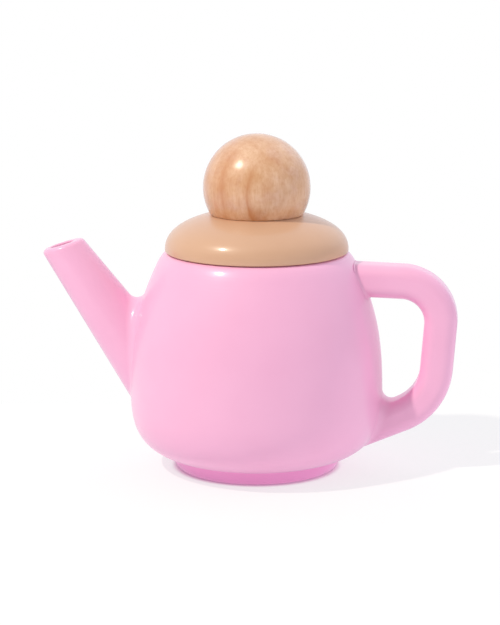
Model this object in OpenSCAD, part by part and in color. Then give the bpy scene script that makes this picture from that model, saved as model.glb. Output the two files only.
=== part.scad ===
// Toy teapot of turned wood: a painted pot with a spout, a handle and a foot,
// and a lid with a round knob that lifts off.
// +Z is up and the table is z = 0. The pot's axis is the Z axis, the handle is
// on +X and the spout on -X. All sizes are in millimetres and degrees.

/* [Pot] */
// Radius of the pot at its widest ring
belly_r = 48.2; // [46:0.1:52]
// Height of the widest ring above the table
belly_z = 27; // [24:0.5:31]
// Height of the pot's rim above the table
rim_z = 83.4; // [80:0.2:92]
// Radius of the rim at its outer corner, before it is rounded
rim_r = 35.7; // [34:0.1:38]
// Lean of the wall where the shoulder's rounding starts, from upright
neck_lean = 25; // [20:0.5:34]
// How far the wall keeps its upright run above the widest ring
upright_pull = 21.2; // [18:0.2:30]
// How far the wall keeps its leaning run below the shoulder
neck_pull = 19.8; // [12:0.2:28]
// How far the wall keeps its upright run below the widest ring
turn_pull = 12.6; // [8:0.2:15]
// How far the underside keeps its flat run out from the foot
ledge_pull = 10.4; // [7:0.2:13]
// Slope of the underside where it leaves the foot
ledge_slope = 17; // [8:0.5:22]
// How far the shoulder's rounding starts below the rim, along the wall
rim_round = 5.8; // [1:0.1:7]
// How far the shoulder's rounding runs in over the top of the rim
rim_inset = 2.2; // [0.4:0.1:3]
// Radius of the bore, which runs right through the body
bore_r = 28; // [25:0.2:30]

/* [Foot] */
// Height of the foot, from the table to the body
foot_h = 5.4; // [4:0.2:8]
// Radius of the foot where it meets the body
foot_top_r = 33.2; // [31:0.1:35]
// Radius of the foot on the table
foot_base_r = 30.6; // [28:0.1:33]
// Rounding of the foot's lower edge
foot_round = 2; // [0.5:0.1:3.2]
// Ledge of the body that overhangs the foot
foot_ledge = 0.4; // [0.2:0.1:1]
// Thickness of the plug on the foot that closes the bore
foot_plug_h = 6; // [3:0.5:12]

/* [Spout] */
// How far the middle of the spout's tip stands out from the widest ring
spout_reach = 27.2; // [21:0.2:32]
// Height of the middle of the tip above the rim
spout_rise = 1.1; // [-4:0.1:8]
// Lean of the spout from upright
spout_lean = 35.6; // [31:0.2:40]
// Radius of the spout at its tip
spout_tip_r = 7.8; // [6:0.1:9]
// Taper of the spout, as the lean of its side from its axis
spout_taper = 4.4; // [3:0.2:7]
// Slope of the cut across the tip, which rises toward the pot
spout_cut_slope = 17.2; // [8:0.2:28]
// Radius of the blind hole in the tip
spout_hole_r = 4.4; // [3.6:0.1:5]
// Depth of the hole along the spout
spout_hole_depth = 16; // [10:0.5:22]

/* [Handle] */
// How far the handle stands out from the widest ring
handle_reach = 28.1; // [25:0.1:36]
// Height of the upper arm's axis below the rim
arm_drop = 10.3; // [9:0.1:16]
// Thickness of the bar, seen from the side
bar_t = 12.4; // [10.5:0.1:14]
// Width of the bar, across the teapot
bar_w = 15; // [12:0.1:18]
// Rounding of the bar's four edges
bar_round = 4.5; // [2:0.1:6]
// Droop of the upper arm from level
arm_droop = 1.8; // [0:0.1:4]
// Bend radius between the upper arm and the grip
top_bend_r = 15; // [13:0.1:18]
// Lean of the grip toward the pot's foot, from upright
grip_lean = 4.4; // [0:0.1:8]
// Straight length of the grip
grip_l = 17.2; // [14:0.1:20]
// Bend radius between the grip and the lower arm
low_bend_r = 21.3; // [17:0.1:24]
// Slope of the lower arm from level
low_arm_slope = 23.1; // [18:0.1:26]

/* [Lid] */
// Radius of the lid
lid_r = 34.8; // [33:0.2:37]
// Height of the lid from the pot's rim to its flat top
lid_h = 14.2; // [12:0.2:18]
// Upright edge of the lid above the rim
lid_edge_h = 1.1; // [0.5:0.1:2.5]
// Radius of the flat on top of the lid
lid_top_r = 17.7; // [16:0.1:20]
// How far the dome keeps its upright run above the edge
lid_edge_pull = 4.5; // [2:0.1:7]
// How far the dome keeps its flatter run outside the flat top
lid_top_pull = 14.5; // [8:0.5:16]
// Slope of the dome where it meets the flat top
lid_top_slope = 13.5; // [6:0.5:20]
// Thickness of the spigot under the lid
spigot_h = 6; // [3:0.5:10]
// Gap round the spigot in the bore
spigot_gap = 0.4; // [0.3:0.1:1]
// Chamfer on the spigot's lower edge
spigot_chamfer = 1; // [0.4:0.1:2]

/* [Knob] */
// Radius of the wooden ball
knob_r = 20.3; // [18.5:0.1:24]
// Height of the cap that is cut off the ball to give it a flat to stand on
knob_cut_h = 10.1; // [3:0.1:11]

/* [Dowels] */
// Radius of the dowel in the spout and of the dowel in the knob
dowel_r = 4; // [3:0.5:4.5]
// Length of the spout's dowel
spout_dowel_l = 21; // [16:1:24]
// Length of the knob's dowel
knob_dowel_l = 24; // [16:1:26]
// Radius of the two dowels in the handle
handle_dowel_r = 3; // [2:0.5:3.5]
// Length of each dowel in the handle
handle_dowel_l = 18; // [12:1:20]
// Glue gap round a dowel and along a coped joint
glue_gap = 0.1; // [0.05:0.05:0.2]
// Room left at each end of a dowel
dowel_end_gap = 0.5; // [0.2:0.1:1]

/* [Hidden] */

// Facets of a round face in the view, and steps along a drawn curve
$fn = 128;
curve_steps = 12;
edge_steps = 7;
bend_steps = 10;
corner_steps = 5;

// Length by which a cut runs past the face that it opens
overrun = 2;

// Share of each dowel's length that sits in the pot's wall or in the lid
spout_dowel_wall_share = 0.6;
handle_dowel_wall_share = 0.45;
knob_dowel_lid_share = 0.46;

// Height of the spout's dowel, as a share of the way from the widest ring to the rim
spout_dowel_height_share = 0.45;

// Share of the belly's radius inside which the lower arm is cut off under the pot
low_root_share = 0.8;

// Largest rounding of the bar, as a share of its thinner side
bar_round_limit_share = 0.48;

// Depth to which a piece is drawn inside the pot before its root is coped
root_sink = 12.6;

// Colours
pink = [0.96, 0.69, 0.85];
deep_pink = [0.91, 0.50, 0.72];
beige = [0.90, 0.72, 0.57];
bare_wood = [0.87, 0.69, 0.54];
dowel_wood = [0.82, 0.70, 0.52];

// The direction at an angle from +X toward +Z
function heading(angle) = [cos(angle), sin(angle)];

// The cubic curve from a to d with the pull points b and c, after its first point
function cubic(a, b, c, d) = [
    for (i = [1:curve_steps])
        let (t = i / curve_steps, s = 1 - t)
            s * s * s * a + 3 * s * s * t * b + 3 * s * t * t * c + t * t * t * d
];

// The rounded corner from a to b that would meet at c
function rounded(a, c, b) = [
    for (i = [0:edge_steps])
        let (t = i / edge_steps, s = 1 - t)
            s * s * a + 2 * s * t * c + t * t * b
];

// The pot's outline from the foot's ledge up to the rim, as [radius, height]
ledge_point = [foot_top_r + foot_ledge, foot_h];
belly_point = [belly_r, belly_z];
rim_corner = [rim_r, rim_z];
neck_dir = heading(90 + neck_lean);
rim_side = rim_corner - rim_round * neck_dir;
rim_top = rim_corner - [rim_inset, 0];
pot_outline = concat(
    [ledge_point],
    cubic(ledge_point, ledge_point + ledge_pull * heading(ledge_slope),
          belly_point - [0, turn_pull], belly_point),
    cubic(belly_point, belly_point + [0, upright_pull],
          rim_side - neck_pull * neck_dir, rim_side),
    rounded(rim_side, rim_corner, rim_top)
);

// The outline's radius at a height
wall_table = [for (p = pot_outline) [p[1], p[0]]];
function wall_r(z) = lookup(z, wall_table);

// The lid's outline from the flat top down to the rim
lid_top_z = rim_z + lid_h;
lid_top_point = [lid_top_r, lid_top_z];
lid_edge_point = [lid_r, rim_z + lid_edge_h];
lid_outline = concat(
    [lid_top_point],
    cubic(lid_top_point, lid_top_point + lid_top_pull * heading(-lid_top_slope),
          lid_edge_point + [0, lid_edge_pull], lid_edge_point),
    [[lid_r, rim_z]]
);

// The knob's middle, above the flat that it stands on
knob_z = lid_top_z + knob_r - knob_cut_h;

// The spout's tip, and its length down into the pot
spout_tip = [-(belly_r + spout_reach), rim_z + spout_rise];
spout_l = (spout_reach + root_sink) / sin(spout_lean);
spout_root_r = spout_tip_r + spout_l * tan(spout_taper);
spout_end_r = spout_tip_r - spout_tip_r * tan(spout_taper);

// The handle's path: its headings, the centres of its two bends and its two ends
arm_heading = -arm_droop;
grip_heading = -(90 + grip_lean);
low_heading = -(180 - low_arm_slope);
arm_z = rim_z - arm_drop;
top_centre = [belly_r + handle_reach - bar_t / 2 - top_bend_r, arm_z - top_bend_r * cos(arm_droop)];
grip_start = top_centre + top_bend_r * heading(grip_heading + 90);
grip_end = grip_start + grip_l * heading(grip_heading);
low_centre = grip_end - low_bend_r * heading(grip_heading + 90);
low_start = low_centre + low_bend_r * heading(low_heading + 90);
arm_l = (top_centre[0] - wall_r(arm_z) + root_sink) / cos(arm_droop);
arm_start = top_centre + top_bend_r * heading(arm_heading + 90) - arm_l * heading(arm_heading);
low_root_r = low_root_share * belly_r;
low_arm_l = (low_start[0] - low_root_r + bar_t / 2) / cos(low_arm_slope);

// The places along the path where the bar has a ring, as [point, heading]
function bend_places(centre, radius, from, to) = [
    for (i = [0:bend_steps])
        let (angle = from + (to - from) * i / bend_steps)
            [centre + radius * heading(angle + 90), angle]
];
handle_path = concat(
    [[arm_start, arm_heading]],
    bend_places(top_centre, top_bend_r, arm_heading, grip_heading),
    bend_places(low_centre, low_bend_r, grip_heading, low_heading),
    [[low_start + low_arm_l * heading(low_heading), low_heading]]
);

// The bar's rounded outline, as [outward from the bend's centre, across the teapot]
bar_corner_r = min(bar_round, bar_round_limit_share * min(bar_t, bar_w));
bar_outline = [
    for (quarter = [0:3], i = [0:corner_steps])
        let (
            angle = 90 * (quarter + i / corner_steps),
            side_t = quarter == 0 || quarter == 3 ? 1 : -1,
            side_w = quarter < 2 ? 1 : -1
        )
            [side_t * (bar_t / 2 - bar_corner_r), side_w * (bar_w / 2 - bar_corner_r)]
                + bar_corner_r * heading(angle)
];

// The outline set square to the path at one of its places
function bar_ring(place) = [
    for (p = bar_outline)
        let (flat = place[0] + p[0] * heading(place[1] + 90))
            [flat[0], p[1], flat[1]]
];

// The height of the lower arm's axis at a distance out from the pot's axis
function low_arm_z(x) = low_start[1] - (low_start[0] - x) * tan(low_arm_slope);

// Each level dowel, as [end in the pot, end in the other piece, height]
function level_dowel(side, wall, z, length, wall_share) = [
    side * (wall - wall_share * length),
    side * (wall + (1 - wall_share) * length),
    z
];
spout_dowel_z = belly_z + spout_dowel_height_share * (rim_z - belly_z);
low_wall_r = wall_r(low_arm_z(belly_r));
low_dowel_z = low_arm_z(low_wall_r + (1 - handle_dowel_wall_share) * handle_dowel_l / 2);
spout_dowel_place =
    level_dowel(-1, wall_r(spout_dowel_z), spout_dowel_z, spout_dowel_l, spout_dowel_wall_share);
upper_dowel_place =
    level_dowel(1, wall_r(arm_z), arm_z, handle_dowel_l, handle_dowel_wall_share);
lower_dowel_place =
    level_dowel(1, low_wall_r, low_dowel_z, handle_dowel_l, handle_dowel_wall_share);

// A level rod along X at a dowel's place, grown all round and at its ends
module level_rod(place, r, grow = 0, end_gap = 0) {
    x_low = min(place[0], place[1]) - end_gap;
    x_high = max(place[0], place[1]) + end_gap;
    translate([x_low, 0, place[2]])
        rotate([0, 90, 0])
            cylinder(r = r + grow, h = x_high - x_low);
}

// An upright rod for the knob's dowel, grown all round and at its ends
module knob_rod(grow = 0, end_gap = 0) {
    translate([0, 0, lid_top_z - knob_dowel_lid_share * knob_dowel_l - end_gap])
        cylinder(r = dowel_r + grow, h = knob_dowel_l + 2 * end_gap);
}

// The pot's outside as one solid, for coping what joins it
module pot_envelope(grow = 0) {
    rotate_extrude()
        polygon(concat(
            [[0, foot_h]],
            [for (p = pot_outline) p + [grow, 0]],
            [[0, rim_z]]
        ));
}

module pot_body() {
    color(pink)
        difference() {
            pot_envelope();
            translate([0, 0, foot_h - overrun])
                cylinder(r = bore_r, h = rim_z - foot_h + 2 * overrun);
            level_rod(spout_dowel_place, dowel_r, glue_gap, dowel_end_gap);
            level_rod(upper_dowel_place, handle_dowel_r, glue_gap, dowel_end_gap);
            level_rod(lower_dowel_place, handle_dowel_r, glue_gap, dowel_end_gap);
        }
}

module foot_disc() {
    plug_r = bore_r - glue_gap;
    plug_z = foot_h + foot_plug_h;
    side_dir = [foot_top_r - foot_base_r, foot_h] / norm([foot_top_r - foot_base_r, foot_h]);
    base_corner = [foot_base_r, 0];
    color(deep_pink)
        rotate_extrude()
            polygon(concat(
                [[0, 0]],
                rounded(base_corner - [foot_round, 0], base_corner, base_corner + foot_round * side_dir),
                [[foot_top_r, foot_h], [plug_r, foot_h], [plug_r, plug_z], [0, plug_z]]
            ));
}

// Places what is drawn along the spout's axis, with the tip's middle at the origin
module at_spout_tip(lean) {
    translate([spout_tip[0], 0, spout_tip[1]])
        rotate([0, -lean, 0])
            children();
}

module spout() {
    color(pink)
        difference() {
            at_spout_tip(spout_lean)
                translate([0, 0, -spout_l])
                    cylinder(r1 = spout_root_r, r2 = spout_end_r, h = spout_l + spout_tip_r);
            at_spout_tip(spout_cut_slope)
                translate([-2 * spout_tip_r, -2 * spout_tip_r, 0])
                    cube(4 * spout_tip_r);
            at_spout_tip(spout_lean)
                translate([0, 0, -spout_hole_depth])
                    cylinder(r = spout_hole_r, h = spout_hole_depth + spout_tip_r);
            pot_envelope(glue_gap);
            level_rod(spout_dowel_place, dowel_r, glue_gap, dowel_end_gap);
        }
}

module spout_dowel() {
    color(dowel_wood)
        level_rod(spout_dowel_place, dowel_r);
}

// One solid swept along rings that all have as many points, with flat ends
module swept(rings) {
    count = len(rings[0]);
    last = len(rings) - 1;
    sides = [
        for (i = [0:last - 1], j = [0:count - 1])
            let (k = (j + 1) % count)
                [i * count + j, i * count + k, (i + 1) * count + k, (i + 1) * count + j]
    ];
    start_face = [for (j = [0:count - 1]) count - 1 - j];
    end_face = [for (j = [0:count - 1]) last * count + j];
    polyhedron(points = [for (ring = rings) each ring], faces = concat([start_face], sides, [end_face]));
}

module handle() {
    color(pink)
        difference() {
            swept([for (place = handle_path) bar_ring(place)]);
            pot_envelope(glue_gap);
            cylinder(r = low_root_r, h = belly_z);
            level_rod(upper_dowel_place, handle_dowel_r, glue_gap, dowel_end_gap);
            level_rod(lower_dowel_place, handle_dowel_r, glue_gap, dowel_end_gap);
        }
}

module handle_dowel_upper() {
    color(dowel_wood)
        level_rod(upper_dowel_place, handle_dowel_r);
}

module handle_dowel_lower() {
    color(dowel_wood)
        level_rod(lower_dowel_place, handle_dowel_r);
}

module lid() {
    color(beige)
        difference() {
            rotate_extrude()
                polygon(concat([[0, rim_z], [0, lid_top_z]], lid_outline));
            knob_rod(glue_gap, dowel_end_gap);
        }
}

module lid_spigot() {
    spigot_r = bore_r - spigot_gap;
    color(beige)
        rotate_extrude()
            polygon([
                [0, rim_z],
                [0, rim_z - spigot_h],
                [spigot_r - spigot_chamfer, rim_z - spigot_h],
                [spigot_r, rim_z - spigot_h + spigot_chamfer],
                [spigot_r, rim_z]
            ]);
}

module knob() {
    color(bare_wood)
        difference() {
            translate([0, 0, knob_z])
                sphere(r = knob_r);
            translate([-knob_r, -knob_r, lid_top_z - knob_r])
                cube([2 * knob_r, 2 * knob_r, knob_r]);
            knob_rod(glue_gap, dowel_end_gap);
        }
}

module knob_dowel() {
    color(dowel_wood)
        knob_rod();
}

pot_body();
foot_disc();
spout();
spout_dowel();
handle();
handle_dowel_upper();
handle_dowel_lower();
lid();
lid_spigot();
knob();
knob_dowel();
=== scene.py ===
# %% [markdown]
# This lesson dresses a toy teapot of turned wood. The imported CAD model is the
# frame: it fixes every size and every place, and it says how the lid lifts.
# The steps below make finer pieces in the same places, paint them and light them.

# %% Load the frame
import math

import bpy
import numpy as np
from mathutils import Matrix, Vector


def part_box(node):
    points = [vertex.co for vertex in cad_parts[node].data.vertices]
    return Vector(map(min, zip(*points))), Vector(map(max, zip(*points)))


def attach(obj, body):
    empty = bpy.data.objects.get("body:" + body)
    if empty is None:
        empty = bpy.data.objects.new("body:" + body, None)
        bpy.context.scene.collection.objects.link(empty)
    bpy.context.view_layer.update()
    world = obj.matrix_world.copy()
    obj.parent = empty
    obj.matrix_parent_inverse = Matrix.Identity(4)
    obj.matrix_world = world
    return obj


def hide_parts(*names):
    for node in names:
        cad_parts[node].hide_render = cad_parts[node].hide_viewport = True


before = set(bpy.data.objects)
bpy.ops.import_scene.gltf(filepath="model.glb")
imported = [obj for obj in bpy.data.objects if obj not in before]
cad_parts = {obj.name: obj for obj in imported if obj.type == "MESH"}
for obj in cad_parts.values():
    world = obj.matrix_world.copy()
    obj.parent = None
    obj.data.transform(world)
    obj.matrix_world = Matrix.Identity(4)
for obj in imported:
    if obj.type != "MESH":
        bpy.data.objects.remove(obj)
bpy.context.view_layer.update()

MM = 0.001

# %% [markdown]
# The real pot is turned on a lathe, so one outline gives its whole form. A cylinder
# could be sculpted to it, but the outline is what the photograph shows best. It is
# two cubic curves that meet upright at the belly, as in the CAD model, drawn here
# in finer steps. An outline's points are a radius and a height. Sizes are in
# millimetres until a mesh is saved, and angles in degrees.

# %% The outline of the pot
BELLY = np.array([48.2, 27.0])
RIM_CORNER = np.array([35.7, 83.4])
NECK_LEAN = 25.0
RIM_ROUND = 5.8
RIM_INSET = 2.2
RIM_STEPS = 14
FOOT_H = 5.4
LEDGE = np.array([33.6, FOOT_H])
LEDGE_ROUND = 0.35
LEDGE_SLOPE = 17.0
# How far each end of the two curves is pulled along its own direction.
PULLS = {"ledge": 10.4, "turn": 12.6, "upright": 21.2, "neck": 19.8}
CURVE_STEPS = 40
CORNER_STEPS = 6
SAME_POINT = 0.005    # points nearer than this are one


def heading(degrees):
    angle = math.radians(degrees)
    return np.array([math.cos(angle), math.sin(angle)])


def cubic(a, b, c, d):
    """Points along a cubic curve from a to d, pulled toward b and c."""
    t = np.linspace(0, 1, CURVE_STEPS + 1)[:, None]
    s = 1 - t
    return s**3 * a + 3 * s**2 * t * b + 3 * s * t**2 * c + t**3 * d


def rounded(a, corner, b, steps=CORNER_STEPS):
    """Points along a soft corner from a to b."""
    t = np.linspace(0, 1, steps + 1)[:, None]
    s = 1 - t
    return s**2 * a + 2 * s * t * corner + t**2 * b


def joined(*runs):
    """Runs of points one after another, without doubles."""
    points = np.vstack(runs)
    apart = np.linalg.norm(np.diff(points, axis=0), axis=1) > SAME_POINT
    return points[np.concatenate([[True], apart])]


neck_dir = heading(90 + NECK_LEAN)
rim_side = RIM_CORNER - RIM_ROUND * neck_dir
rim_top = RIM_CORNER - [RIM_INSET, 0]
ledge_side = LEDGE + LEDGE_ROUND * heading(LEDGE_SLOPE)
ledge_pull = LEDGE + PULLS["ledge"] * heading(LEDGE_SLOPE)
neck_pull = rim_side - PULLS["neck"] * neck_dir
wall = joined(
    cubic(ledge_side, ledge_pull, BELLY - [0, PULLS["turn"]], BELLY),
    cubic(BELLY, BELLY + [0, PULLS["upright"]], neck_pull, rim_side),
)
rim = rounded(rim_side, RIM_CORNER, rim_top, RIM_STEPS)
body_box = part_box("pot_body")
print("belly radius here and in the frame:", wall[:, 0].max(), round(body_box[1].x / MM, 2))

# %% [markdown]
# A lathe turns an outline round an axis. The Screw modifier could do it too, but a
# Geometry Nodes tree keeps the whole recipe in one place, with named sizes, for
# every turned piece. A grid takes its columns from the turn and its rows from the
# outline's points, and a merge closes the seam and the poles.


# %% Add a node
def add(tree, kind, settings=None, inputs=None):
    """Adds a node, sets its settings, and links or sets its inputs."""
    node = tree.nodes.new(kind)
    for name, value in (settings or {}).items():
        setattr(node, name, value)
    for name, value in (inputs or {}).items():
        if isinstance(value, bpy.types.NodeSocket):
            tree.links.new(value, node.inputs[name])
        else:
            node.inputs[name].default_value = value
    return node


# %% Build the lathe tree
SEAM_MERGE = 0.004


def lathe_tree():
    tree = bpy.data.node_groups.new("turn an outline", "GeometryNodeTree")
    for name, kind in [
        ("Outline", "NodeSocketGeometry"),
        ("Steps round", "NodeSocketInt"),
        ("Sharp angle", "NodeSocketFloat"),
        ("Finish", "NodeSocketMaterial"),
    ]:
        tree.interface.new_socket(name, in_out="INPUT", socket_type=kind)
    tree.interface.new_socket("Piece", in_out="OUTPUT", socket_type="NodeSocketGeometry")
    given = add(tree, "NodeGroupInput").outputs

    # The grid: one column more than the steps, because the seam has two until the merge.
    count = add(tree, "GeometryNodeAttributeDomainSize", {"component": "MESH"},
                {"Geometry": given["Outline"]}).outputs["Point Count"]
    columns = add(tree, "ShaderNodeMath", {"operation": "ADD"},
                  {0: given["Steps round"], 1: 1.0}).outputs[0]
    last_row = add(tree, "ShaderNodeMath", {"operation": "SUBTRACT"},
                   {0: count, 1: 1.0}).outputs[0]
    grid = add(tree, "GeometryNodeMeshGrid", None,
               {"Size X": 1.0, "Size Y": 1.0, "Vertices X": columns, "Vertices Y": count})

    # Across the grid is the angle of the turn, and along it the number of the outline's point.
    place = add(tree, "GeometryNodeInputPosition").outputs[0]
    flat = add(tree, "ShaderNodeSeparateXYZ", None, {0: place}).outputs
    turn = add(tree, "ShaderNodeMath", {"operation": "ADD"}, {0: flat["X"], 1: 0.5}).outputs[0]
    angle = add(tree, "ShaderNodeMath", {"operation": "MULTIPLY"},
                {0: turn, 1: math.tau}).outputs[0]
    along = add(tree, "ShaderNodeMath", {"operation": "ADD"}, {0: flat["Y"], 1: 0.5}).outputs[0]
    row = add(tree, "ShaderNodeMath", {"operation": "MULTIPLY"},
              {0: along, 1: last_row}).outputs[0]
    whole_row = add(tree, "ShaderNodeMath", {"operation": "ROUND"}, {0: row}).outputs[0]
    sample = add(tree, "GeometryNodeSampleIndex", {"data_type": "FLOAT_VECTOR", "domain": "POINT"},
                 {"Geometry": given["Outline"], "Value": place, "Index": whole_row}).outputs[0]
    point = add(tree, "ShaderNodeSeparateXYZ", None, {0: sample}).outputs
    cosine = add(tree, "ShaderNodeMath", {"operation": "COSINE"}, {0: angle}).outputs[0]
    sine = add(tree, "ShaderNodeMath", {"operation": "SINE"}, {0: angle}).outputs[0]
    x = add(tree, "ShaderNodeMath", {"operation": "MULTIPLY"},
            {0: point["X"], 1: cosine}).outputs[0]
    y = add(tree, "ShaderNodeMath", {"operation": "MULTIPLY"},
            {0: point["X"], 1: sine}).outputs[0]
    turned = add(tree, "ShaderNodeCombineXYZ", None, {"X": x, "Y": y, "Z": point["Z"]}).outputs[0]
    bent = add(tree, "GeometryNodeSetPosition", None,
               {"Geometry": grid.outputs["Mesh"], "Position": turned})

    # The seam and the poles close, and shading stays soft but at sharp edges.
    closed = add(tree, "GeometryNodeMergeByDistance", None,
                 {"Geometry": bent.outputs[0], "Distance": SEAM_MERGE * MM})
    smooth = add(tree, "GeometryNodeSetShadeSmooth", {"domain": "FACE"}, {0: closed.outputs[0]})
    edge = add(tree, "GeometryNodeInputMeshEdgeAngle").outputs["Unsigned Angle"]
    soft = add(tree, "FunctionNodeCompare", {"data_type": "FLOAT", "operation": "LESS_THAN"},
               {0: edge, 1: given["Sharp angle"]}).outputs[0]
    edged = add(tree, "GeometryNodeSetShadeSmooth", {"domain": "EDGE"},
                {0: smooth.outputs[0], "Shade Smooth": soft})
    whole = add(tree, "GeometryNodeRealizeInstances", None, {0: edged.outputs[0]})
    painted = add(tree, "GeometryNodeSetMaterial", None,
                  {"Geometry": whole.outputs[0], "Material": given["Finish"]})
    add(tree, "NodeGroupOutput", None, {0: painted.outputs[0]})
    return tree


LATHE = lathe_tree()
print("the lathe tree has", len(LATHE.nodes), "nodes")

# %% Turn a piece and bake it
STEPS_ROUND = 192
SHARP_ANGLE = math.radians(32)
LONGEST_STEP = 1.5


def stepped(outline):
    """The outline with no step longer than LONGEST_STEP, so shading stays near its edge."""
    points = [outline[0]]
    for a, b in zip(outline[:-1], outline[1:]):
        parts = max(1, math.ceil(np.linalg.norm(b - a) / LONGEST_STEP))
        points += [a + (b - a) * i / parts for i in range(1, parts + 1)]
    return np.array(points)


def turned_piece(name, outline, finish):
    """A piece turned from an outline whose outside runs upward, baked to a plain mesh."""
    points = stepped(outline)
    mesh = bpy.data.meshes.new(name)
    edges = [(i, i + 1) for i in range(len(points) - 1)]
    mesh.from_pydata([(r * MM, 0, z * MM) for r, z in points], edges, [])
    piece = bpy.data.objects.new(name, mesh)
    bpy.context.scene.collection.objects.link(piece)
    modifier = piece.modifiers.new("turn an outline", "NODES")
    modifier.node_group = LATHE
    sockets = {item.name: item.identifier for item in LATHE.interface.items_tree}
    modifier[sockets["Steps round"]] = STEPS_ROUND
    modifier[sockets["Sharp angle"]] = SHARP_ANGLE
    modifier[sockets["Finish"]] = finish
    graph = bpy.context.evaluated_depsgraph_get()
    baked = bpy.data.meshes.new_from_object(piece.evaluated_get(graph), depsgraph=graph)
    piece.modifiers.clear()
    piece.data = baked
    baked.name = name
    print(name, "has", len(baked.polygons), "faces")
    return piece


print("one step round the belly is", round(math.tau * BELLY[0] / STEPS_ROUND, 2), "mm")

# %% [markdown]
# Colours are written as they look on screen and turned to the linear values that
# Blender works in. One function does that for all of them. The pot's pink is this
# lesson's main colour, so its linear values are printed.


# %% Colours
def linear(hex_colour):
    """A screen colour in hex as linear red, green, blue and alpha."""
    shares = [int(hex_colour[i:i + 2], 16) / 255 for i in (1, 3, 5)]
    return tuple(c / 12.92 if c <= 0.04045 else ((c + 0.055) / 1.055)**2.4 for c in shares) + (1.0,)


def new_finish(name):
    """An empty node material with its shader."""
    material = bpy.data.materials.new(name)
    material.use_nodes = True
    tree = material.node_tree
    tree.nodes.clear()
    shader = add(tree, "ShaderNodeBsdfPrincipled")
    add(tree, "ShaderNodeOutputMaterial", None, {"Surface": shader.outputs[0]})
    return material, tree, shader


PINK = ("#FABADB", "#F6B3D5")
print("the pot's pink is", [round(share, 3) for share in linear(PINK[0])[:3]])

# %% [markdown]
# The pot, spout and handle are sprayed with a gloss pink lacquer, and the lid
# with a beige one. The lamp shows in it as a small bright spot with a soft glow
# round it. One gloss can't be both, so the finish has two layers: the paint, which
# scatters the gloss widely, and a thin smooth coat over it. The gun leaves slow
# changes of tone and a faint orange peel, and the lathe's marks show through as
# fine rings. The marks are drawn coarser than a real cut leaves them, so that they
# show at all.

# %% Sprayed lacquer
LATHE_MARK = 1.3
MARK_DEPTH = 0.01
WAVE_RADIANS = 20    # a wave texture runs through this many radians for each unit of its scale
PEEL_CELL = 1.6
PEEL_DEPTH = 0.02
PEEL_STRENGTH = 0.18
TONE_PATCH = 14.0
PAINT_ROUGHNESS = (0.3, 0.4)
PAINT_SPECULAR = 0.3
PAINT_COAT = 0.5
PAINT_COAT_ROUGHNESS = 0.14


def sprayed_lacquer(name, colours, marks):
    """Gloss lacquer from its lighter and deeper colour; marks is how strongly the lathe's
    rings show through, from 0 to 1."""
    light, deep = [linear(colour) for colour in colours]
    material, tree, shader = new_finish(name)
    place = add(tree, "ShaderNodeTexCoord").outputs["Object"]
    patch = add(tree, "ShaderNodeTexNoise", None, {
        "Vector": place, "Scale": 1 / (TONE_PATCH * MM), "Detail": 3.0, "Roughness": 0.45,
    }).outputs[0]
    tone = add(tree, "ShaderNodeMix", {"data_type": "RGBA"},
               {0: patch, 6: light, 7: deep}).outputs[2]
    peel = add(tree, "ShaderNodeTexNoise", None,
               {"Vector": place, "Scale": 1 / (PEEL_CELL * MM), "Detail": 1.0}).outputs[0]
    rings = add(tree, "ShaderNodeTexWave", {"wave_type": "BANDS", "bands_direction": "Z"}, {
        "Vector": place, "Scale": math.tau / (WAVE_RADIANS * LATHE_MARK * MM),
        "Distortion": 0.6, "Detail": 2.0, "Detail Scale": 0.6,
    }).outputs[1]
    gloss = add(tree, "ShaderNodeMapRange", None,
                {0: patch, 3: PAINT_ROUGHNESS[0], 4: PAINT_ROUGHNESS[1]}).outputs[0]
    peeled = add(tree, "ShaderNodeBump", None, {
        "Strength": PEEL_STRENGTH, "Distance": PEEL_DEPTH * MM, "Height": peel,
    }).outputs[0]
    marked = add(tree, "ShaderNodeBump", None, {
        "Strength": marks, "Distance": MARK_DEPTH * MM, "Height": rings, "Normal": peeled,
    }).outputs[0]
    tree.links.new(tone, shader.inputs["Base Color"])
    tree.links.new(gloss, shader.inputs["Roughness"])
    tree.links.new(marked, shader.inputs["Normal"])
    tree.links.new(peeled, shader.inputs["Coat Normal"])
    shader.inputs["Specular IOR Level"].default_value = PAINT_SPECULAR
    shader.inputs["Coat Weight"].default_value = PAINT_COAT
    shader.inputs["Coat Roughness"].default_value = PAINT_COAT_ROUGHNESS
    return material


# Spun on the lathe and then sprayed: an even pink gloss with faint level rings in it.
pink_turned = sprayed_lacquer("pink gloss lacquer on turned wood", PINK, marks=0.6)
# Sanded smooth all over before spraying: the same gloss with no rings, only its peel.
pink_sanded = sprayed_lacquer("pink gloss lacquer on sanded wood", PINK, marks=0.0)
# Painted shade: a deeper, fuller pink than the pot's, for the dim pink light bounced under the
# belly, where little light comes.
FOOT_SHADE_PINK = ("#FFA8DA", "#FCA1D5")
pink_foot_with_painted_shade = sprayed_lacquer("pink gloss lacquer on the foot, deepened as painted shade", FOOT_SHADE_PINK, marks=0.3)
# A plain milky beige: the lamp's glow spreads over the dome, with a few soft rings.
BEIGE = ("#D8AC8D", "#D3A687")
beige_turned = sprayed_lacquer("beige gloss lacquer on turned wood", BEIGE, marks=0.35)
print("lathe marks every", LATHE_MARK, "mm")

# %% [markdown]
# The knob is a wooden ball under clear lacquer. It was cut from a board, so the
# tree's heart lay in front of it, and the growth rings stand round that heart as
# upright shells. A wave texture would give even stripes, but each year's wood
# darkens slowly outward and ends at a thin late ring, so a ramp over the distance
# from the heart draws them. Birch has faint rings: most of them fade, and one
# streak on the left shows. Short fibres and specks run along the grain. Real fibres
# are finer than a pixel, so these are drawn as coarse as they need to show. The
# lacquer is a coat over the duller wood, and the grain makes it a little uneven.

# %% The rings of the wood
HEART = (12.7, -29.7)
RING_REACH = 40.0
RING_SWAY = 5
SWAY_WIDTH = 22
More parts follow.
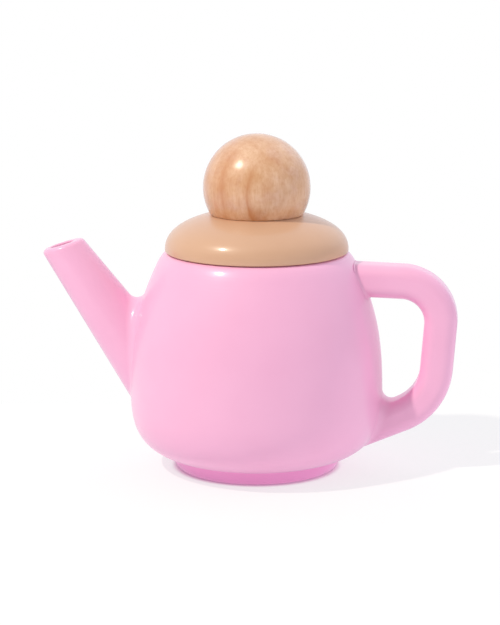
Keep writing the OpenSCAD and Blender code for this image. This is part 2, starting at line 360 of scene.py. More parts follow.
# Each ring is its distance from the heart in mm and how dark it is.
KNOB_RINGS = [
    (0.0, 0.1), (12.0, 0.1), (15.0, 0.25), (16.4, 0.8), (16.9, 1.0),
    (17.5, 0.3), (19.0, 0.1), (20.9, 0.25), (21.3, 0.08), (23.8, 0.2),
    (26.4, 0.6), (28.0, 0.3), (31.0, 0.3), (31.4, 0.1), (36.0, 0.25),
]


def ring_tone(tree, place, rings):
    """How dark the rings are at a place. They sway a little on their way up."""
    noise = add(tree, "ShaderNodeTexNoise", None,
                {"Vector": place, "Scale": 1 / (SWAY_WIDTH * MM), "Detail": 3.0}).outputs[1]
    sway = add(tree, "ShaderNodeVectorMath", {"operation": "SUBTRACT"},
               {0: noise, 1: (0.5, 0.5, 0.5)}).outputs[0]
    swayed = add(tree, "ShaderNodeVectorMath", {"operation": "MULTIPLY_ADD"},
                 {0: sway, 1: (RING_SWAY * MM, RING_SWAY * MM, 0), 2: place}).outputs[0]
    from_heart = add(tree, "ShaderNodeMapping", {"vector_type": "POINT"}, {
        "Vector": swayed, "Location": (-HEART[0] * MM, -HEART[1] * MM, 0), "Scale": (1, 1, 0),
    }).outputs[0]
    out = add(tree, "ShaderNodeVectorMath", {"operation": "LENGTH"},
              {0: from_heart}).outputs["Value"]
    reach = add(tree, "ShaderNodeMath", {"operation": "DIVIDE"},
                {0: out, 1: RING_REACH * MM}).outputs[0]
    year = add(tree, "ShaderNodeValToRGB", None, {0: reach})
    stops = year.color_ramp.elements
    stops[1].position = rings[-1][0] / RING_REACH
    for distance, darkness in rings[1:-1]:
        stops.new(distance / RING_REACH).color = (darkness, darkness, darkness, 1)
    for stop, (distance, darkness) in ((stops[0], rings[0]), (stops[-1], rings[-1])):
        stop.color = (darkness, darkness, darkness, 1)
    return year.outputs[0]


print("the knob shows", len(KNOB_RINGS), "tones over", KNOB_RINGS[-1][0], "mm from the heart")

# %% The wood under its lacquer
FIBRE_WIDTH = 0.5
FIBRE_STRETCH = 0.16
FIBRE_DEPTH = 0.02
FIBRE_STRENGTH = 0.25
UPRIGHT_GRAIN = (1, 1, FIBRE_STRETCH)
# The rings fade toward the right and the top, between these distances along that way.
FADE_TOWARD = (1, 0, 0.5)
FADE_FROM = 51.5
FADE_TO = 61.5
FADED = 0.2
# Each change of tone: its size in mm, the noise it starts and ends at, its weakest and
# strongest share, and its seed.
RINGS_FADING = (11.0, 0.35, 0.6, 0.3, 1.0, 2.0)
MID_PATCHES = (10.0, 0.3, 0.7, 0.0, 1.0, 0.0)
FLUSHED_PATCHES = (7.0, 0.5, 0.75, 0.0, 0.7, 9.0)
FIBRE_BANDS = (2.2, 0.45, 0.75, 0.0, 0.3, 5.0)
SPECKS = (1.3, 0.45, 0.7, 0.0, 0.2, 7.0)
FINE_FIBRES = {1: 0.45, 2: 0.8, 3: 0.0, 4: 0.3}
CLEAR_CELL = 0.8
CLEAR_DEPTH = 0.12
CLEAR_ROUGHNESS = 0.06


def soft_patches(tree, place, size, low, high, weakest, strongest, seed):
    """A slow change over the wood, from weakest to strongest."""
    noise = add(tree, "ShaderNodeTexNoise", {"noise_dimensions": "4D"},
                {"Vector": place, "W": seed, "Scale": 1 / (size * MM), "Detail": 2.0}).outputs[0]
    return add(tree, "ShaderNodeMapRange", None,
               {0: noise, 1: low, 2: high, 3: weakest, 4: strongest}).outputs[0]


def grained_wood(name, colours, rings, grain, roughness, coat):
    """Wood from its pale, mid, flushed and late colours. grain shortens the pattern along
    the fibres, and coat is the weight of the clear lacquer over it."""
    pale, mid, flushed, late = [linear(colour) for colour in colours]
    material, tree, shader = new_finish(name)
    place = add(tree, "ShaderNodeTexCoord").outputs["Object"]
    year = ring_tone(tree, place, rings)
    fading = soft_patches(tree, place, *RINGS_FADING)
    aside = add(tree, "ShaderNodeVectorMath", {"operation": "DOT_PRODUCT"},
                {0: place, 1: FADE_TOWARD}).outputs["Value"]
    kept = add(tree, "ShaderNodeMapRange", {"interpolation_type": "SMOOTHSTEP"},
               {0: aside, 1: FADE_FROM * MM, 2: FADE_TO * MM, 3: 1.0, 4: FADED}).outputs[0]
    patchy = add(tree, "ShaderNodeMath", {"operation": "MULTIPLY"},
                 {0: year, 1: fading}).outputs[0]
    ringed = add(tree, "ShaderNodeMath", {"operation": "MULTIPLY"},
                 {0: patchy, 1: kept}).outputs[0]
    along = add(tree, "ShaderNodeMapping", {"vector_type": "POINT"},
                {"Vector": place, "Scale": grain}).outputs[0]
    fibre = add(tree, "ShaderNodeTexNoise", None,
                {"Vector": along, "Scale": 1 / (FIBRE_WIDTH * MM), "Detail": 3.0}).outputs[0]
    fine = add(tree, "ShaderNodeMapRange", None, {0: fibre, **FINE_FIBRES}).outputs[0]
    colour = pale
    for share, over in [
        (soft_patches(tree, place, *MID_PATCHES), mid),
        (soft_patches(tree, place, *FLUSHED_PATCHES), flushed),
        (ringed, late),
        (soft_patches(tree, along, *FIBRE_BANDS), late),
        (fine, late),
        (soft_patches(tree, place, *SPECKS), late),
    ]:
        colour = add(tree, "ShaderNodeMix", {"data_type": "RGBA"},
                     {0: share, 6: colour, 7: over}).outputs[2]
    tree.links.new(colour, shader.inputs["Base Color"])
    grain_bump = add(tree, "ShaderNodeBump", None, {
        "Strength": FIBRE_STRENGTH, "Distance": FIBRE_DEPTH * MM, "Height": fibre,
    }).outputs[0]
    tree.links.new(grain_bump, shader.inputs["Normal"])
    if coat:
        cells = add(tree, "ShaderNodeTexNoise", None,
                    {"Vector": place, "Scale": 1 / (CLEAR_CELL * MM), "Detail": 2.0}).outputs[0]
        uneven = add(tree, "ShaderNodeBump", None,
                     {"Strength": 1.0, "Distance": CLEAR_DEPTH * MM, "Height": cells}).outputs[0]
        tree.links.new(uneven, shader.inputs["Coat Normal"])
    shader.inputs["Roughness"].default_value = roughness
    shader.inputs["Coat Weight"].default_value = coat
    shader.inputs["Coat Roughness"].default_value = CLEAR_ROUGHNESS
    return material


# Turned, sanded and dipped in clear lacquer: warm mottled wood with one dark streak, under
# a wet gloss that breaks up a little over the grain.
knob_wood = grained_wood("birch under clear lacquer", ["#EBC19E", "#DBA87C", "#DFB39E", "#BE6D28"],
                         KNOB_RINGS, UPRIGHT_GRAIN, roughness=0.45, coat=1.0)
print("fibres", FIBRE_WIDTH, "mm wide and", round(FIBRE_WIDTH / FIBRE_STRETCH, 1), "mm long")

# %% [markdown]
# Four beech dowels hold the spout, the handle and the knob. They are cut off a plain
# rod and glued into their holes, where nothing shows of them. The CAD model's own
# solids are right for that, so only their finish is new: the same wood in beech's
# colours, dull and with no lacquer. A rod's fibres run along it, so the upright
# dowel and the level ones each have their own.

# %% Bare dowels
BEECH = ["#DDBF92", "#CFAE80", "#C9A57E", "#A98259"]
DOWEL_RINGS = [(0.0, 0.1), (2.6, 0.5), (2.9, 0.1), (5.6, 0.5), (5.9, 0.1)]
LEVEL_GRAIN = (FIBRE_STRETCH, 1, 1)
# Bare wood off the machine: pale, dull and dry, with flecks along the rod.
upright_dowel_wood = grained_wood("bare beech dowel, upright", BEECH, DOWEL_RINGS, UPRIGHT_GRAIN,
                                  roughness=0.6, coat=0.0)
level_dowel_wood = grained_wood("bare beech dowel, lying level", BEECH, DOWEL_RINGS, LEVEL_GRAIN,
                                roughness=0.6, coat=0.0)
print("the dowels have", len(BEECH), "tones of beech")

# %% [markdown]
# The body comes first. Its outline goes up the outside, over the rim and down the
# bore, so that one turn makes the wall with its inside, and the pot is hollow when
# the lid is lifted. A bevel would round every edge alike. Here the rim and the ledge
# over the foot each have their own rounding, as lacquer leaves them.

# %% Turn the body
BORE_R = 28.0
BORE_ROUND = 0.8
bore_top = np.array([BORE_R, RIM_CORNER[1] - BORE_ROUND])
body_outline = joined(
    rounded(LEDGE - [LEDGE_ROUND, 0], LEDGE, ledge_side),
    wall,
    rim,
    rounded([BORE_R + BORE_ROUND, RIM_CORNER[1]], [BORE_R, RIM_CORNER[1]], bore_top),
    [[BORE_R, FOOT_H], LEDGE - [LEDGE_ROUND, 0]],
)
pot_body = turned_piece("painted_body", body_outline, pink_turned)

# %% [markdown]
# The foot is a disc glued under the body, with a plug that closes the bore. It is
# a little narrower on the table, and its lower edge is rounded. It is a piece of its
# own, because the joint under the ledge shows. Its pink is drawn deeper than the
# pot's, as painted shade for the dim pink light under the belly.

# %% Turn the foot
FOOT_TOP_R = 33.2
FOOT_BASE = np.array([30.6, 0.0])
FOOT_ROUND = 2.0
PLUG_R = 27.9
PLUG_Z = 11.4
PLUG_ROUND = 0.4
foot_side = np.array([FOOT_TOP_R, FOOT_H]) - FOOT_BASE
foot_side = foot_side / np.linalg.norm(foot_side)
foot_outline = joined(
    [[0, 0]],
    rounded(FOOT_BASE - [FOOT_ROUND, 0], FOOT_BASE, FOOT_BASE + FOOT_ROUND * foot_side),
    [[FOOT_TOP_R, FOOT_H], [PLUG_R, FOOT_H]],
    rounded([PLUG_R, PLUG_Z - PLUG_ROUND], [PLUG_R, PLUG_Z], [PLUG_R - PLUG_ROUND, PLUG_Z]),
    [[0, PLUG_Z]],
)
# The foot's deeper pink is painted shade.
foot = turned_piece("painted_foot", foot_outline, pink_foot_with_painted_shade)

# %% [markdown]
# The lid is a dome with a flat for the knob. It sits on the rim's flat, and outside
# that its underside is turned a little higher, over the shoulder's rounding. The
# narrow gap between them makes the dark line between the lid and the pot. A painted
# line would stay on the pot when the lid lifts, so it is a real gap. A spigot under
# the lid keeps it in the middle of the bore.

# %% Turn the lid and its spigot
LID_R = 34.8
LID_TOP = np.array([17.7, 97.6])
LID_EDGE = np.array([LID_R, 84.5])
LID_PULLS = {"top": 14.5, "edge": 4.5}
LID_TOP_SLOPE = 13.5
LID_EASE = 0.5
SEAT_R = 32.6
SEAT_GAP = 0.3
SPIGOT_PLAY = 0.4
SPIGOT_H = 6.0
SPIGOT_CHAMFER = 1.0
rim_z = RIM_CORNER[1]
dome = cubic(LID_EDGE, LID_EDGE + [0, LID_PULLS["edge"]],
             LID_TOP + LID_PULLS["top"] * heading(-LID_TOP_SLOPE), LID_TOP)
gap_z = rim_z + SEAT_GAP
lid_outline = joined(
    [[0, rim_z], [SEAT_R, rim_z], [SEAT_R + SEAT_GAP, gap_z]],
    rounded([LID_R - LID_EASE, gap_z], [LID_R, gap_z], [LID_R, gap_z + LID_EASE]),
    dome,
    [[0, LID_TOP[1]]],
)
spigot_r = BORE_R - SPIGOT_PLAY
spigot_z = rim_z - SPIGOT_H
spigot_outline = np.array([
    [0, spigot_z], [spigot_r - SPIGOT_CHAMFER, spigot_z],
    [spigot_r, spigot_z + SPIGOT_CHAMFER], [spigot_r, rim_z], [0, rim_z],
])
lid = turned_piece("painted_lid", lid_outline, beige_turned)
spigot = turned_piece("painted_spigot", spigot_outline, beige_turned)

# %% [markdown]
# The knob is a stocked wooden ball, about 40 mm across, with a cap sawn off so that
# it stands on the lid. Sanding softens the sawn edge. A cut sphere would do from
# afar, but the same lathe gives it even rows and a soft edge where it meets the lid.

# %% Turn the knob
KNOB_R = 20.3
KNOB_CUT = 10.1
KNOB_SAND = 2.0
KNOB_EDGE = 0.5
KNOB_STEPS = 72
knob_z = LID_TOP[1] + KNOB_R - KNOB_CUT
cut_angle = math.degrees(math.asin((KNOB_CUT - KNOB_R) / KNOB_R))
cut_r = KNOB_R * math.cos(math.radians(cut_angle))
ball = np.array([
    [0, knob_z] + KNOB_R * heading(angle)
    for angle in np.linspace(cut_angle + KNOB_SAND, 90, KNOB_STEPS)
])
ball[-1, 0] = 0    # the top lies exactly on the axis, so the pole closes
knob_outline = joined(
    [[0, LID_TOP[1]]],
    rounded([cut_r - KNOB_EDGE, LID_TOP[1]], [cut_r, LID_TOP[1]], ball[0]),
    ball,
)
knob = turned_piece("lacquered_knob", knob_outline, knob_wood)

# %% [markdown]
# The spout and the handle are glued on before spraying, and filler and lacquer
# leave a soft hollow along each joint. A boolean with a bevel often fails on such
# curved joints. A ball rolled along the joint gives the same form: it touches both
# surfaces, and the fillet is its arc between the touches.

# %% How near the pot is
ON_WALL = 1e-6


def near_pot(points):
    """Each point's distance outside the pot's wall, and the wall's outward direction there."""
    # The pot is round, so a point's radius and height place it beside the wall's outline.
    radius = np.hypot(points[:, 0], points[:, 1])
    flat = np.stack([radius, points[:, 2]], axis=1)
    start, run = wall[:-1], np.diff(wall, axis=0)
    share = ((flat[:, None] - start) * run).sum(2) / (run**2).sum(1)
    touch = start + np.clip(share, 0, 1)[..., None] * run
    away = flat[:, None] - touch
    best = (away**2).sum(2).argmin(1)
    away = away[np.arange(len(points)), best]
    # A point on the wall itself takes the outline's own outward direction.
    outward = np.stack([run[best, 1], -run[best, 0]], axis=1)
    outward /= np.linalg.norm(outward, axis=1)[:, None]
    side = np.sign((away * outward).sum(1))
    distance = side * np.linalg.norm(away, axis=1)
    clear = np.abs(distance) > ON_WALL
    outward[clear] = away[clear] / distance[clear, None]
    round_axis = points[:, :2] / radius[:, None]
    return distance, np.column_stack([round_axis * outward[:, :1], outward[:, 1]])


print("the ball rolls against", len(wall), "points of the wall")

# %% Roll a ball along a joint
SEARCH_PLACES = 240
HALVINGS = 40
FILLET_STEPS = 10
# Past the fillet, a line runs on and sinks into the pot in two steps, to a root inside it.
RUN_ON = 0.3
FIRST_SINK = 0.02
SECOND_SINK = 1.2
ROOT_DEPTH = 5.0


def blend_to_pot(surface, free, buried, ball_r):
    """Where a ball touches a bar's lines and the pot, and the rings from there into the pot.
    surface(s) gives each line's point and outward direction at its own s."""

    def ball_is_clear(at):
        point, outward = surface(at)
        return near_pot(point + ball_r * outward)[0] > ball_r

    # Each line is followed until the ball meets the pot, and the last step is then halved.
    low, high = free.copy(), free.copy()
    for s in np.linspace(0, 1, SEARCH_PLACES)[1:]:
        reach = free + s * (buried - free)
        clear = ball_is_clear(reach)
        still = high == low
        high = np.where(still, reach, high)
        low = np.where(still & clear, reach, low)
    for _ in range(HALVINGS):
        middle = (low + high) / 2
        clear = ball_is_clear(middle)
        low = np.where(clear, middle, low)
        high = np.where(clear, high, middle)
    # The fillet's rings turn round the ball, from its touch on the bar to that on the pot.
    point, outward = surface(low)
    centre = point + ball_r * outward
    to_pot = -near_pot(centre)[1]
    angle = np.arccos(np.clip((-outward * to_pot).sum(1), -1, 1))[:, None]
    rings = []
    for i in range(1, FILLET_STEPS + 1):
        share = i / FILLET_STEPS
        turn = np.sin((1 - share) * angle) * -outward + np.sin(share * angle) * to_pot
        rings.append(centre + ball_r * turn / np.sin(angle))
    onward = (to_pot * np.cos(angle) + outward) / np.sin(angle)
    for sink in (FIRST_SINK, SECOND_SINK):
        rings.append(rings[-1] + RUN_ON * onward + sink * to_pot)
    inside = rings[-1].mean(0)[None]
    depth, out = near_pot(inside)
    tip = inside - (depth[:, None] + ROOT_DEPTH) * out
    return low, rings, tip[0], np.degrees(angle)


print("a fillet has", FILLET_STEPS, "steps across it")

# %% Close a piece from its rings
CUBIC_CM = 1000


def closed_piece(name, first, rings, last, finish):
    """A closed piece from a first point, rings of equal length and a last point."""
    count = len(rings[0])
    points = np.vstack([[first], *rings, [last]])
    end = len(points) - 1
    faces = []
    for j in range(count):
        k = (j + 1) % count
        faces.append((0, 1 + j, 1 + k))
        for i in range(len(rings) - 1):
            a = 1 + i * count
            faces.append((a + j, a + count + j, a + count + k, a + k))
        a = 1 + (len(rings) - 1) * count
        faces.append((a + j, end, a + k))
    mesh = bpy.data.meshes.new(name)
    mesh.from_pydata((points * MM).tolist(), [], faces)
    size = sum(
        np.dot(points[f[0]], np.cross(points[f[i]], points[f[i + 1]])) / 6
        for f in faces for i in range(1, len(f) - 1)
    )
    # A negative volume means that the faces point inwards.
    if size < 0:
        mesh.flip_normals()
    mesh.materials.append(finish)
    mesh.shade_smooth()
    mesh.set_sharp_from_angle(angle=SHARP_ANGLE)
    piece = bpy.data.objects.new(name, mesh)
    bpy.context.scene.collection.objects.link(piece)
    print(name, "has", len(faces), "faces and holds", round(abs(size) / CUBIC_CM, 1), "cubic cm")
    return piece


# %% [markdown]
# The spout is a straight tapering cone that leans out of the pot. Its tip is cut
# on a slope that rises toward the pot, drilled 16 mm deep, and eased inside and
# out. The lathe can't make it, because its tip isn't square to its axis. Its lines
# run from the drilled hole over the lip, down the cone and into the pot.

# %% The lines of the spout
SPOUT_TIP = np.array([-75.4, 0.0, 84.5])
SPOUT_LEAN = 35.6
SPOUT_TIP_R = 7.8
SPOUT_TAPER = math.radians(4.4)
SPOUT_CUT = 17.2
SPOUT_LINES = 96

round_spout = np.linspace(0, math.tau, SPOUT_LINES, endpoint=False)[:, None]
lean = heading(90 + SPOUT_LEAN)
spout_up = np.array([lean[0], 0, lean[1]])
spout_side = np.array([lean[1], 0, -lean[0]])
spout_out = np.cos(round_spout) * spout_side + np.sin(round_spout) * np.array([0, 1, 0])
cut = heading(90 + SPOUT_CUT)
cut_up = np.array([cut[0], 0, cut[1]])
cone_out = math.cos(SPOUT_TAPER) * spout_out + math.sin(SPOUT_TAPER) * spout_up


def spout_surface(down):
    radius = SPOUT_TIP_R + down[:, None] * math.tan(SPOUT_TAPER)
    return SPOUT_TIP - down[:, None] * spout_up + radius * spout_out, cone_out


print("the spout leans", SPOUT_LEAN, "degrees from upright")

# %% The mouth of the spout
SPOUT_HOLE_R = 4.4
SPOUT_LIP = 1.6
HOLE_LIP = 0.5
LIP_STEPS = 6


def arc_rings(centre, start, end, radius):
    """Rings along the arc of a ball from one direction to another."""
    angle = np.arccos(np.clip((start * end).sum(1), -1, 1))[:, None]
    rings = []
    for s in np.linspace(0, 1, LIP_STEPS + 1):
        turn = np.sin((1 - s) * angle) * start + np.sin(s * angle) * end
        rings.append(centre + radius * turn / np.sin(angle))
    return rings


# The inner lip touches the hole and the cut, and the outer one touches the cut and the cone.
lip_r = SPOUT_HOLE_R + HOLE_LIP
hole_centre_down = (HOLE_LIP + lip_r * (spout_out @ cut_up)) / (spout_up @ cut_up)
hole_centre = SPOUT_TIP - hole_centre_down[:, None] * spout_up + lip_r * spout_out
cuts = np.repeat(cut_up[None], SPOUT_LINES, axis=0)
hole_lip = arc_rings(hole_centre, -spout_out, cuts, HOLE_LIP)
lip_from = SPOUT_TIP_R * spout_out - SPOUT_LIP * cone_out
lip_run = math.tan(SPOUT_TAPER) * spout_out - spout_up
lip_down = (-SPOUT_LIP - lip_from @ cut_up) / (lip_run @ cut_up)
lip_centre = SPOUT_TIP + lip_from + lip_down[:, None] * lip_run
spout_lip = arc_rings(lip_centre, cuts, cone_out, SPOUT_LIP)
print("the mouth is", 2 * SPOUT_HOLE_R, "mm across")

# %% Make the spout
SPOUT_HOLE_DEPTH = 16.0
SPOUT_BLEND = 4.0
SPOUT_L = 66.0
HOLE_STEPS = 8
CONE_STEPS = 30
spout_end, spout_blend, spout_root, spout_angles = blend_to_pot(
    spout_surface, lip_down, np.full(SPOUT_LINES, SPOUT_L), SPOUT_BLEND)
hole_bottom = SPOUT_TIP - SPOUT_HOLE_DEPTH * spout_up
hole_foot = hole_bottom + SPOUT_HOLE_R * spout_out
hole_wall = [hole_foot]
for s in np.linspace(0, 1, HOLE_STEPS + 1)[1:-1]:
    hole_wall.append(hole_foot + s * (hole_lip[0] - hole_foot))
cone = []
for s in np.linspace(0, 1, CONE_STEPS + 1)[1:]:
    cone.append(spout_surface(lip_down + s * (spout_end - lip_down))[0])
spout = closed_piece("painted_spout", hole_bottom,
                     hole_wall + hole_lip + spout_lip + cone + spout_blend,
                     spout_root, pink_sanded)
print("its joint turns", spout_angles.min().round(), "to", spout_angles.max().round(), "degrees")

# %% [markdown]
# The handle is a bar with a rounded square section. It is sawn from a board in a D
# shape and its edges are rounded over with a cutter. A bevelled curve would turn its
# ends into plain cuts, so the section is swept here, and each of its lines ends
# where it meets the pot. The lines run from one joint with the pot to the other.

# %% The path of the handle
HANDLE_OUT = 76.3
ARM_Z = 73.1
BAR_T = 12.4
ARM_HEADING = -1.8
GRIP_HEADING = -94.4
LOW_HEADING = -156.9
TOP_BEND_R = 15.0
LOW_BEND_R = 21.3
GRIP_L = 17.2
ARM_L = 32.0
LOW_ARM_L = 32.0
POINTS_PER_DEGREE = 2

top_centre = np.array([
    HANDLE_OUT - BAR_T / 2 - TOP_BEND_R,
    ARM_Z - TOP_BEND_R * math.cos(math.radians(ARM_HEADING)),
])
grip_start = top_centre + TOP_BEND_R * heading(GRIP_HEADING + 90)
grip_end = grip_start + GRIP_L * heading(GRIP_HEADING)
low_centre = grip_end - LOW_BEND_R * heading(GRIP_HEADING + 90)


def bend(centre, radius, start, end):
    """Points and headings along a bend."""
    headings = np.linspace(start, end, POINTS_PER_DEGREE * int(abs(end - start)))
    return [(centre + radius * heading(h + 90), h) for h in headings]


arm_end = top_centre + TOP_BEND_R * heading(ARM_HEADING + 90)
low_start = low_centre + LOW_BEND_R * heading(LOW_HEADING + 90)
path = [(arm_end - ARM_L * heading(ARM_HEADING), ARM_HEADING)]
path += bend(top_centre, TOP_BEND_R, ARM_HEADING, GRIP_HEADING)
path += bend(low_centre, LOW_BEND_R, GRIP_HEADING, LOW_HEADING)
path += [(low_start + LOW_ARM_L * heading(LOW_HEADING), LOW_HEADING)]
path_points = np.array([p for p, h in path])
path_headings = np.array([h for p, h in path])
path_steps = np.linalg.norm(np.diff(path_points, axis=0), axis=1)
path_at = np.concatenate([[0], np.cumsum(path_steps)])
grip_reach = round(path_at[-1] - ARM_L - LOW_ARM_L, 1)
print("the handle's middle line is", grip_reach, "mm long between its arms")

# %% The section of the handle
BAR_W = 15.0
BAR_ROUND = 4.5
BAR_CORNER_STEPS = 9
FLAT_PLACES = (0.15, 0.5, 0.85)    # points along a flat side, so that its shading stays flat
bar_section = []
for side_t, side_w, start in [(1, 1, 0), (-1, 1, 90), (-1, -1, 180), (1, -1, 270)]:
    corner = np.array([side_t * (BAR_T / 2 - BAR_ROUND), side_w * (BAR_W / 2 - BAR_ROUND)])
    for angle in np.linspace(start, start + 90, BAR_CORNER_STEPS):
        bar_section.append((corner + BAR_ROUND * heading(angle), heading(angle)))
sides = []
for (a, out_a), (b, _) in zip(bar_section, bar_section[1:] + bar_section[:1]):
    sides.append((a, out_a))
    if np.linalg.norm(b - a) > LONGEST_STEP:
        sides += [(a + s * (b - a), out_a) for s in FLAT_PLACES]
section = np.array([p for p, out in sides])
section_out = np.array([out for p, out in sides])
print("the section has", len(section), "lines")

# %% Make the handle
UPPER_BLEND = 1.2
LOWER_BLEND = 3.5
BAR_RINGS = 110


def bar_surface(along):
    middle = np.column_stack([np.interp(along, path_at, path_points[:, i]) for i in (0, 1)])
    turn = np.radians(np.interp(along, path_at, path_headings) + 90)
    across = np.column_stack([np.cos(turn), np.sin(turn)])
    flat = middle + section[:, :1] * across
    out = section_out[:, :1] * across
    return (np.column_stack([flat[:, 0], section[:, 1], flat[:, 1]]),
            np.column_stack([out[:, 0], section_out[:, 1], out[:, 1]]))


mid_grip = np.full(len(section), path_at[-1] / 2)
upper_end, upper_blend, upper_root, upper_angles = blend_to_pot(
    bar_surface, mid_grip, np.zeros(len(section)), UPPER_BLEND)
lower_end, lower_blend, lower_root, lower_angles = blend_to_pot(
    bar_surface, mid_grip, np.full(len(section), path_at[-1]), LOWER_BLEND)
bar = []
for s in np.linspace(0, 1, BAR_RINGS):
    bar.append(bar_surface(upper_end + s * (lower_end - upper_end))[0])
handle = closed_piece("painted_handle", upper_root, upper_blend[::-1] + bar + lower_blend,
                      lower_root, pink_sanded)
for joint, angles in (("upper", upper_angles), ("lower", lower_angles)):
    print("its", joint, "joint turns", angles.min().round(), "to", angles.max().round(), "degrees")

# %% [markdown]
# Each new piece rides on its CAD body and stands for its CAD node, whose own part
# is hidden. The table also names that node's slot, which is not read here. The
# dowels stay as the CAD model made them, and only their material slots are filled.

# %% Put the pieces on their bodies
for piece, body, node, slot in [
    (pot_body, "pot", "pot_body", "pot_lacquer"),
    (foot, "pot", "foot_disc", "foot_lacquer"),
    (spout, "pot", "spout", "pot_lacquer"),
    (handle, "pot", "handle", "pot_lacquer"),
    (lid, "lid", "lid", "lid_paint"),
    (spigot, "lid", "lid_spigot", "lid_paint"),
    (knob, "lid", "knob", "knob_wood"),
]:
    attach(piece, body)
    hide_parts(node)
    print(piece.name, "stands for", node, "and rides on the", body)
for node, wood in [
    ("spout_dowel", level_dowel_wood),
    ("handle_dowel_upper", level_dowel_wood),
    ("handle_dowel_lower", level_dowel_wood),
    ("knob_dowel", upright_dowel_wood),
]:
    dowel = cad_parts[node]
    dowel.data.materials.clear()
    dowel.data.materials.append(wood)
    print(node, "is", wood.name)

# %% [markdown]
# The camera stands 0.8 m away and looks a little down. The ellipses of the lid and
# the foot in the photograph give its height and its tilt. The handle stands a
# little toward the camera. The pot could be turned for that, but its place is the
# frame's, so the camera and its studio are turned round the pot.

# %% Camera
VIEW_TURN = 7.0
CAMERA_TILT = 11.66
CAMERA_RIGHT = -2.55
CAMERA_BACK = 800
CAMERA_UP = 224.7
FOCAL_PIXELS = 2142
LONG_SIDE_PIXELS = 625
SENSOR = 36
NEAREST_SEEN = 10


def in_view(right, away, up):
    """A place or direction given along the camera's level view, in the teapot's own axes."""
    level = right * heading(VIEW_TURN) + away * heading(VIEW_TURN + 90)
    return np.array([level[0], level[1], up])


camera_data = bpy.data.cameras.new("camera")
camera_data.sensor_width = SENSOR
camera_data.lens = FOCAL_PIXELS * SENSOR / LONG_SIDE_PIXELS
camera_data.clip_start = NEAREST_SEEN * MM
camera = bpy.data.objects.new("camera", camera_data)
camera.location = in_view(CAMERA_RIGHT, -CAMERA_BACK, CAMERA_UP) * MM
camera.rotation_euler = (math.radians(90 - CAMERA_TILT), 0, math.radians(VIEW_TURN))
bpy.context.scene.collection.objects.link(camera)
bpy.context.scene.camera = camera
print("lens in mm:", round(camera_data.lens, 1))

# %% [markdown]
# The studio is a white table under a small warm lamp, high on the left. White
# panels stand behind and on the right, fainter ones at the front left and in front,
# and one hangs above. Each gives soft light round its own direction. They are a
# little cooler than the lamp, so the shaded side turns toward lilac. The gloss
# mirrors one white sheet, above and behind, and a darker room elsewhere, which gives
# the lacquer its depth.
# Area lamps could stand for the panels, but each would add a spot of its own to the
# gloss, so the panels are drawn in the world.

# %% The panels of the room
PANELS = [
    (in_view(0, 1, 0.15), 1.55),
    (in_view(1, 0, -0.1), 1.8),
    (in_view(-0.7, -0.7, 0.15), 0.6),
    (in_view(0, -1, 0.15), 0.08),
    (in_view(0, 0, 1), 0.5),
]
PANEL_FALL = 2.0
SHEET_TOWARD = in_view(-0.3, 0.6, 0.75)
SHEET_EDGE = 0.5
SHEET_DARK = 0.42
FILL_COLOUR = "#F6F8FF"
WHITE = (1, 1, 1, 1)


def seen_rays(tree, kinds):
    """1 for the rays of these kinds and 0 for the others."""
    rays = add(tree, "ShaderNodeLightPath").outputs
    total = rays[kinds[0]]
    for kind in kinds[1:]:
        total = add(tree, "ShaderNodeMath", {"operation": "MAXIMUM"},
                    {0: total, 1: rays[kind]}).outputs[0]
    return total


world = bpy.data.worlds.new("white room")
bpy.context.scene.world = world
world.use_nodes = True
air = world.node_tree
air.nodes.clear()
direction = add(air, "ShaderNodeTexCoord").outputs["Generated"]


def toward_panel(panel):
    """How far a ray points at a panel, from 0 beside it or behind to 1 at its middle."""
    unit = panel / np.linalg.norm(panel)
    share = add(air, "ShaderNodeVectorMath", {"operation": "DOT_PRODUCT"},
                {0: direction, 1: tuple(unit)}).outputs["Value"]
    return add(air, "ShaderNodeMath", {"operation": "MAXIMUM"}, {0: share, 1: 0.0}).outputs[0]


soft_light = 0.0
for panel, panel_level in PANELS:
    fading = add(air, "ShaderNodeMath", {"operation": "POWER"},
                 {0: toward_panel(panel), 1: PANEL_FALL}).outputs[0]
    soft_light = add(air, "ShaderNodeMath", {"operation": "MULTIPLY_ADD"},
                     {0: fading, 1: panel_level, 2: soft_light}).outputs[0]
sheet = add(air, "ShaderNodeMapRange", {"interpolation_type": "SMOOTHSTEP"}, {
    0: toward_panel(SHEET_TOWARD), 1: 0.0, 2: SHEET_EDGE, 3: SHEET_DARK, 4: 1.0,
}).outputs[0]
mirrored = seen_rays(air, ["Is Glossy Ray", "Is Transmission Ray"])
seen_level = add(air, "ShaderNodeMix", {"data_type": "FLOAT"},
                 {0: mirrored, 2: soft_light, 3: sheet}).outputs[0]
looked_at = seen_rays(air, ["Is Camera Ray"])
level = add(air, "ShaderNodeMix", {"data_type": "FLOAT"},
            {0: looked_at, 2: seen_level, 3: 1.0}).outputs[0]
tint = add(air, "ShaderNodeMix", {"data_type": "RGBA"},
           {0: looked_at, 6: linear(FILL_COLOUR), 7: WHITE}).outputs[2]
room = add(air, "ShaderNodeBackground", None, {"Color": tint, "Strength": level})
add(air, "ShaderNodeOutputWorld", None, {0: room.outputs[0]})
print("the room has", len(PANELS), "panels")

# %% The lamp
LAMP_LEVEL = 0.575
LAMP_COLOUR = "#FFFAE8"
LAMP_TOWARD = in_view(-0.536, -0.342, 0.772)
LAMP_DISTANCE = 1.2
LAMP_SIZE = 0.04
LAMP_AIM_Z = 50
lamp_data = bpy.data.lights.new("lamp", "AREA")
lamp_data.shape = "DISK"
lamp_data.size = LAMP_SIZE
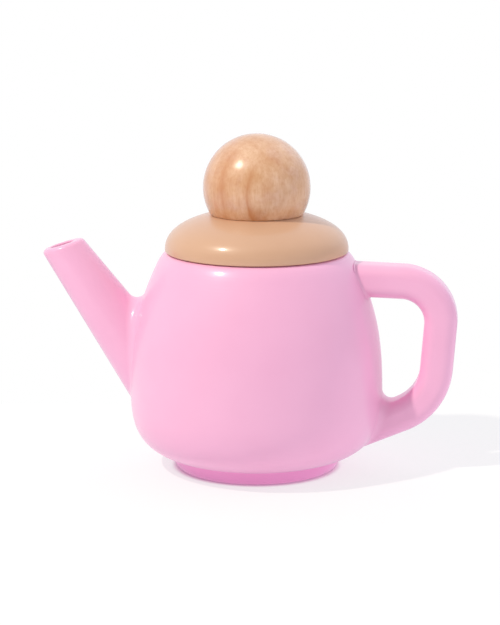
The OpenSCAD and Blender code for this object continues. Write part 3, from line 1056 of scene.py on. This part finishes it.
# This power lights a white surface that faces the lamp to LAMP_LEVEL.
lamp_data.energy = LAMP_LEVEL * math.pi**2 * LAMP_DISTANCE**2
lamp_data.color = linear(LAMP_COLOUR)[:3]
lamp = bpy.data.objects.new("lamp", lamp_data)
toward = LAMP_TOWARD / np.linalg.norm(LAMP_TOWARD)
lamp.location = np.array([0, 0, LAMP_AIM_Z * MM]) + LAMP_DISTANCE * toward
lamp_turn = math.atan2(toward[1], toward[0]) + math.pi / 2
lamp.rotation_euler = (math.acos(toward[2]), 0, lamp_turn)
bpy.context.scene.collection.objects.link(lamp)
print("the lamp gives", round(lamp_data.energy, 1), "W from", LAMP_DISTANCE, "m away")

# %% [markdown]
# The table is a white sheet, lit through from below as well, so it looks white and
# lifts the foot. A brighter lamp would whiten it too, but it would bleach the pot.
# The glow is shown to the camera in plain white, and held back close under the foot,
# where the contact stays dark. The pot gets less of it, and a little cooler.

# %% The table
FLOOR_GLOW = 0.68
TABLE_GLOW = 0.42
GLOW_COLOUR = "#F5F6FF"
TABLE_COLOUR = "#F8F8F8"
TABLE_ROUGHNESS = 0.8
CONTACT = 5.0
CONTACT_DARK = 0.25
CONTACT_CLEAR = 0.6
FLOOR_FAR_EDGE = 94
FLOOR_SPREAD = 1400
# Matt sheet: it shows no gloss, only the pot's shadow and the dark line under the foot.
table, table_tree, table_shader = new_finish("white table")
table_shader.inputs["Base Color"].default_value = linear(TABLE_COLOUR)
table_shader.inputs["Roughness"].default_value = TABLE_ROUGHNESS
table_shader.inputs["Specular IOR Level"].default_value = 0.0
table_out = next(n for n in table_tree.nodes if n.type == "OUTPUT_MATERIAL")
camera_ray = seen_rays(table_tree, ["Is Camera Ray"])
glow_tint = add(table_tree, "ShaderNodeMix", {"data_type": "RGBA"},
                {0: camera_ray, 6: linear(GLOW_COLOUR), 7: WHITE}).outputs[2]
glow = add(table_tree, "ShaderNodeEmission", None, {"Color": glow_tint, "Strength": 1.0})
open_sky = add(table_tree, "ShaderNodeAmbientOcclusion", None,
               {"Distance": CONTACT * MM}).outputs["AO"]
clear = add(table_tree, "ShaderNodeMapRange", {"interpolation_type": "SMOOTHSTEP"}, {
    0: open_sky, 1: CONTACT_DARK, 2: CONTACT_CLEAR, 3: 0.0, 4: FLOOR_GLOW,
}).outputs[0]
share = add(table_tree, "ShaderNodeMix", {"data_type": "FLOAT"},
            {0: camera_ray, 2: TABLE_GLOW, 3: clear}).outputs[0]
seen_table = add(table_tree, "ShaderNodeMixShader", None,
                 {0: share, 1: table_shader.outputs[0], 2: glow.outputs[0]})
table_tree.links.new(seen_table.outputs[0], table_out.inputs["Surface"])
floor_mesh = bpy.data.meshes.new("table top")
floor_corners = [(-FLOOR_SPREAD, -FLOOR_SPREAD), (FLOOR_SPREAD, -FLOOR_SPREAD),
                 (FLOOR_SPREAD, FLOOR_FAR_EDGE), (-FLOOR_SPREAD, FLOOR_FAR_EDGE)]
floor_places = [tuple(in_view(x, y, 0) * MM) for x, y in floor_corners]
floor_mesh.from_pydata(floor_places, [], [(0, 1, 2, 3)])
floor_mesh.materials.append(table)
table_top = bpy.data.objects.new("table top", floor_mesh)
bpy.context.scene.collection.objects.link(table_top)
bpy.context.scene.view_settings.view_transform = "Standard"
print("the table's far edge is", FLOOR_FAR_EDGE, "mm behind the pot's axis")
